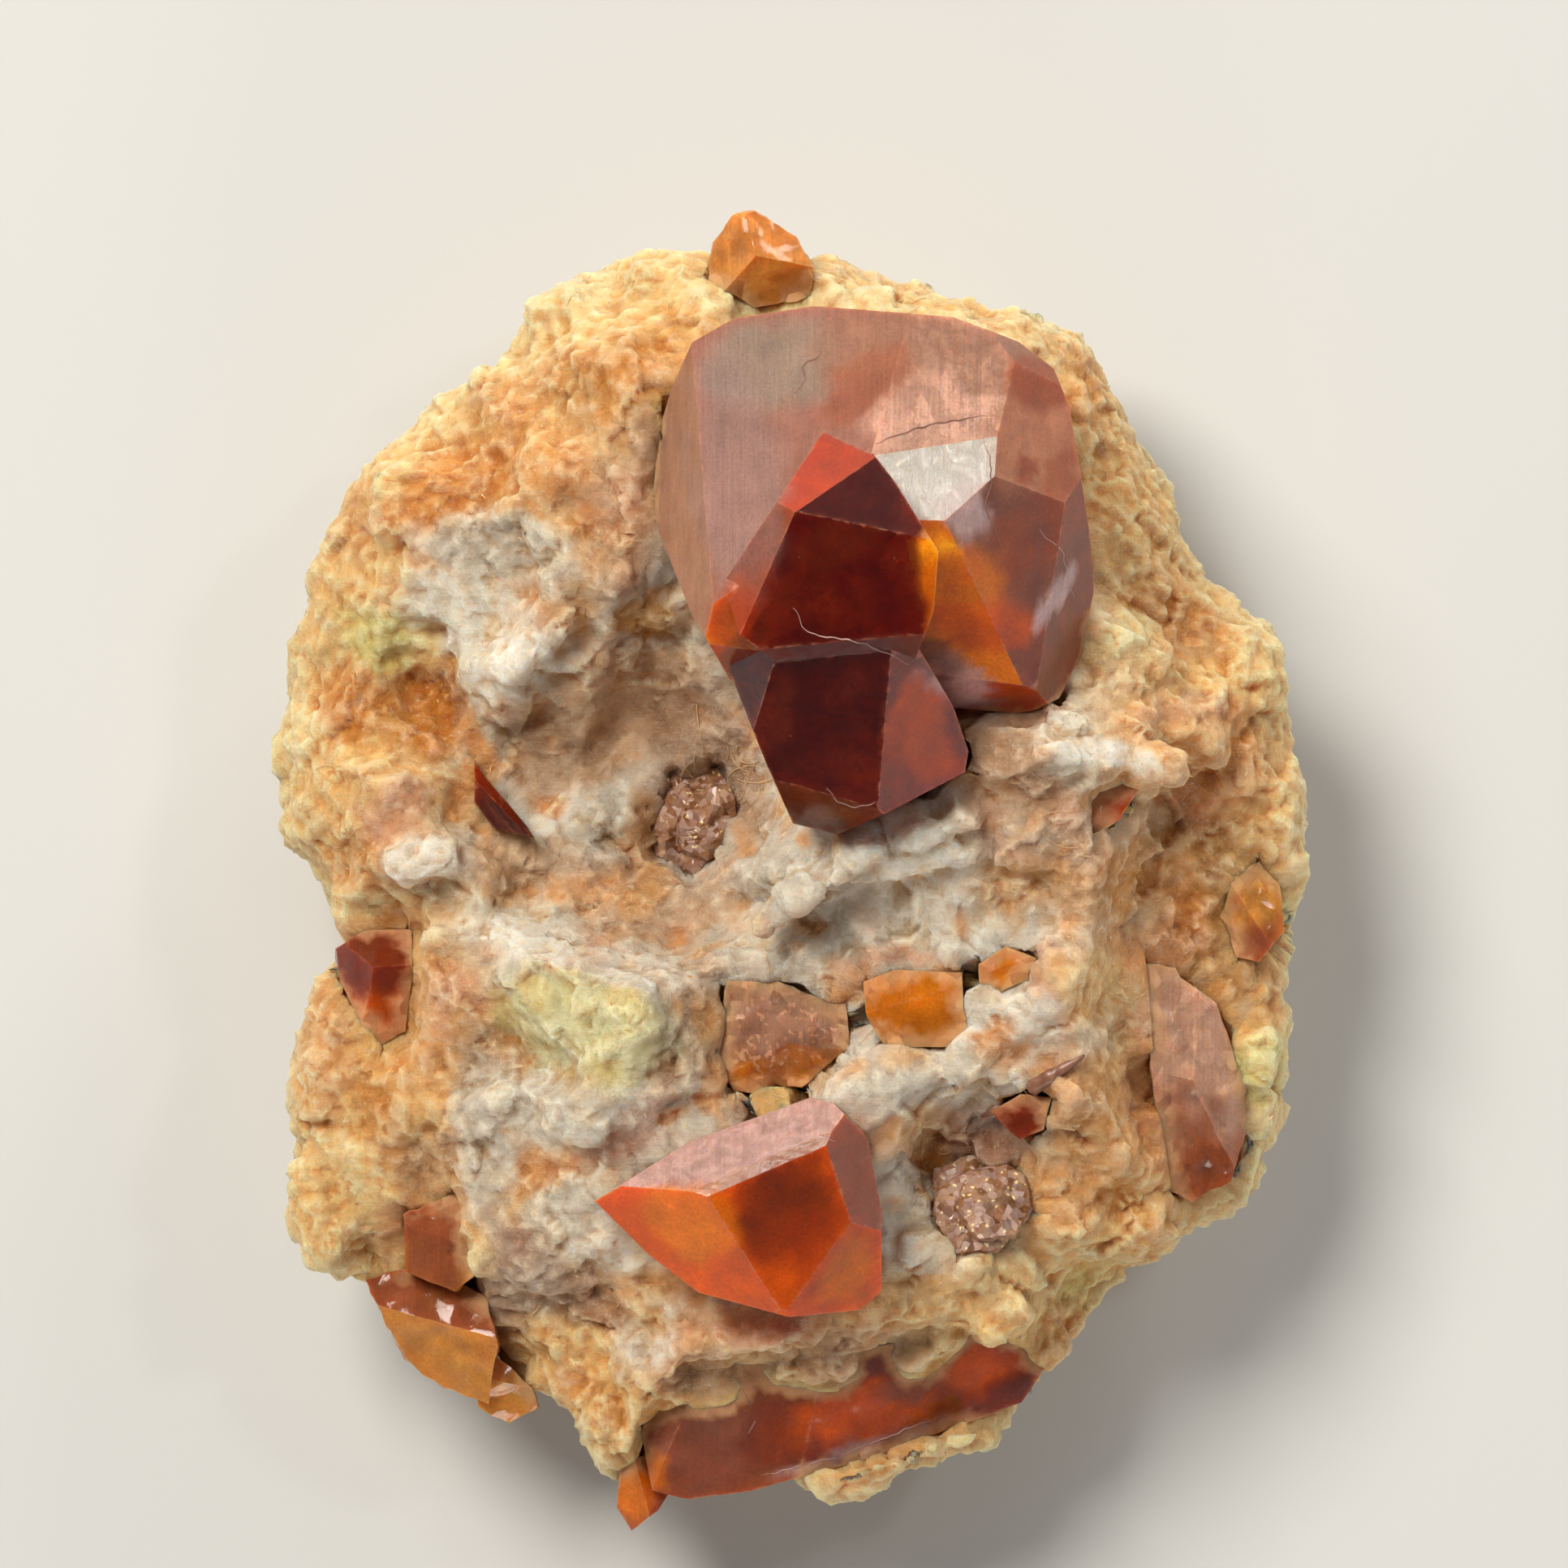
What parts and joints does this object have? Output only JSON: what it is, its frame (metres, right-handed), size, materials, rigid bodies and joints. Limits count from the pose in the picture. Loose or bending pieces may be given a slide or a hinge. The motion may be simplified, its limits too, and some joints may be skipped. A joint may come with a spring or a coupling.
{
  "type": "spessartine garnet on matrix",
  "caption": "Mineral specimen: orange-red spessartine garnet crystals with flat faces set in a rough lump of cream feldspar and albite, lying on its back.",
  "frame": {"origin": "under the middle of the specimen's box, on the surface that it rests on", "axes": "+Z out of the display face, which looks up; +Y towards the top edge of the display face; +X to its right"},
  "size_m": [0.0355, 0.045, 0.0209],
  "materials": {
    "feldspar_rock": "rough, sugary, slightly translucent",
    "red_garnet": "clear, glassy, deep red",
    "orange_garnet": "clear, glassy, orange",
    "brown_garnet": "clear to cloudy, glassy, red-brown",
    "mica": "pearly cleaved flakes"
  },
  "bodies": {
    "root": {"matrix": "feldspar_rock", "garnet_main": "red_garnet", "garnet_right_vein": "red_garnet", "garnet_low_right": "red_garnet", "garnet_bowl_small": "red_garnet", "garnet_lower": "orange_garnet", "garnet_left_notch": "orange_garnet", "garnet_lower_left": "orange_garnet", "garnet_top_tip": "orange_garnet", "garnet_right_edge": "orange_garnet", "garnet_centre_amber": "orange_garnet", "garnet_centre_bead": "orange_garnet", "garnet_right_slit": "orange_garnet", "garnet_base_plate": "brown_garnet", "garnet_crushed": "brown_garnet", "mica_bowl": "mica", "mica_low_right": "mica"}
  },
  "joints": []
}
